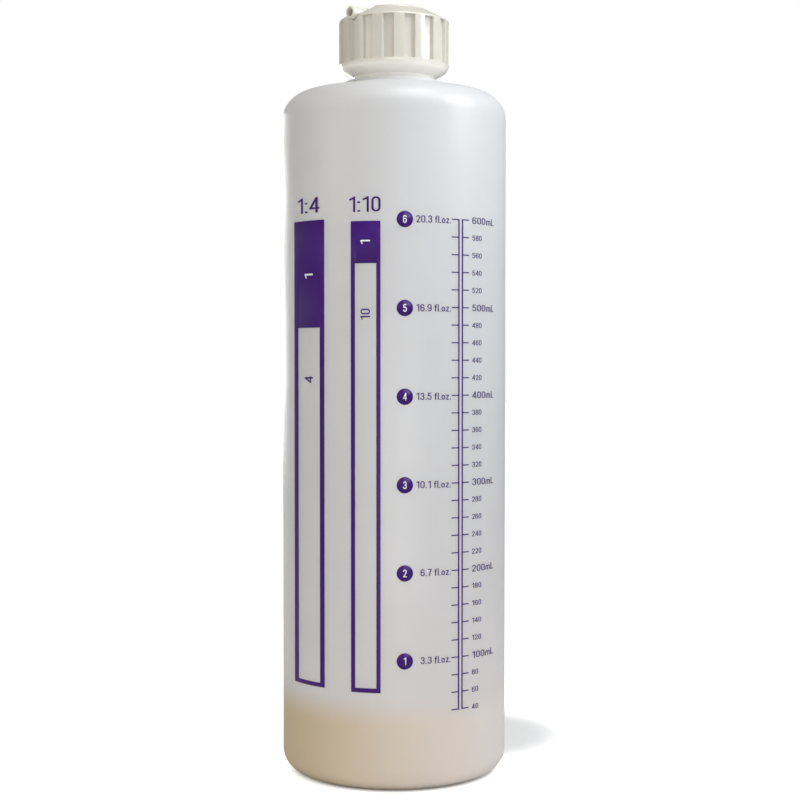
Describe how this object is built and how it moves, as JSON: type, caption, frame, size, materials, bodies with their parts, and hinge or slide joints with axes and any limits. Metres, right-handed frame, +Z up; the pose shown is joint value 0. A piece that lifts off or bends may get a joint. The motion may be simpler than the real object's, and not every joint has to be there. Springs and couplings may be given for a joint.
{
  "type": "dilution bottle",
  "caption": "Tall translucent cylindrical bottle with a printed measuring scale, a fluted white screw cap and a flip-up dispensing spout.",
  "frame": {"origin": "centre of the base, on the surface that the bottle stands on", "axes": "+Z up along the bottle's axis, -Y the side with the printed scale, +X to the right of someone who reads it"},
  "size_m": [0.0716, 0.0716, 0.243],
  "materials": {
    "bottle": "translucent natural polyethylene, soft gloss",
    "seal": "soft foamed polyethylene",
    "cap": "white moulded, glossy",
    "spout": "white moulded, glossy",
    "ink": "purple screen-printed ink, satin"
  },
  "bodies": {
    "bottle": {"bottle": "bottle"},
    "seal": {"seal_washer": "seal"},
    "cap": {"cap": "cap"},
    "spout": {"spout": "spout"}
  },
  "joints": [
    {"name": "cap_lift", "type": "slide", "parent": "bottle", "child": "seal", "axis": [0, 0, 1], "range_m": [0, 0.0191]},
    {"name": "cap_turn", "type": "hinge", "parent": "seal", "child": "cap", "pos_m": [0, 0, 0.2365], "axis": [0, 0, 1], "range_deg": [0, 2160]},
    {"name": "spout_flip", "type": "hinge", "parent": "cap", "child": "spout", "pos_m": [0, 0, 0.23982], "axis": [-0.6921, 0.7218, 0], "range_deg": [0, 90]}
  ],
  "couplings": [
    {"joint": "cap_lift", "follows": "cap_turn", "m_per_rad": 0.00050532}
  ]
}
